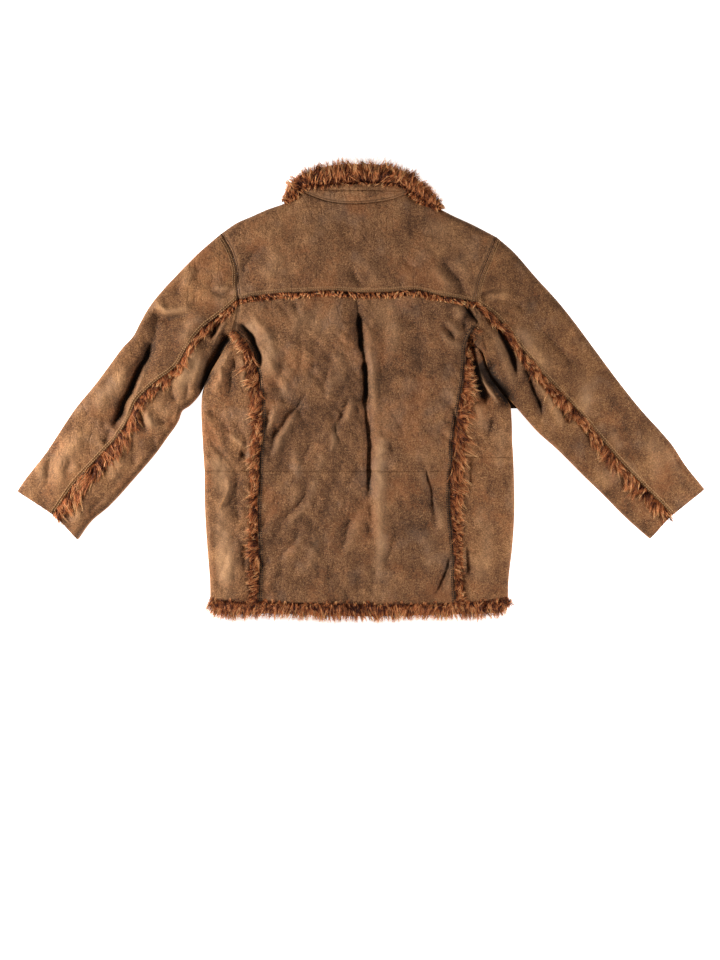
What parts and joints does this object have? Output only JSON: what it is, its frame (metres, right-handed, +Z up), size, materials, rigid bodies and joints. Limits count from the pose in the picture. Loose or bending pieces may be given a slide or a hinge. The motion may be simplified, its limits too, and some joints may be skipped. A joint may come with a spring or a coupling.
{
  "type": "sheepskin coat",
  "caption": "Brown sheepskin coat laid flat, back up, sleeves spread, with red-brown fur at the collar, hem and along its seams.",
  "frame": {"origin": "on the floor, below the middle of the coat's bounding box", "axes": "+Z up out of the coat's back, +Y towards the collar, +X towards the right sleeve as seen from above"},
  "size_m": [1.32, 0.8855, 0.0355],
  "materials": {
    "hide": "dull brown suede, rubbed to tan on folds and edges",
    "fur": "long red-brown wool in locks"
  },
  "bodies": {
    "root": {"back_yoke": "hide", "back_upper": "hide", "back_lower": "hide", "side_left_upper": "hide", "side_left_lower": "hide", "side_right_upper": "hide", "side_right_lower": "hide", "front_left": "hide", "front_right": "hide", "sleeve_left_upper": "hide", "sleeve_left_under": "hide", "sleeve_right_upper": "hide", "sleeve_right_under": "hide", "collar_stand": "hide", "collar_edge": "hide", "collar_front_left": "hide", "collar_front_right": "hide", "fur_yoke_seam": "fur", "fur_side_left": "fur", "fur_side_right": "fur", "fur_sleeve_left": "fur", "fur_sleeve_right": "fur", "fur_collar": "fur", "fur_hem_back": "fur", "fur_hem_front_left": "fur", "fur_hem_front_right": "fur"}
  },
  "joints": []
}
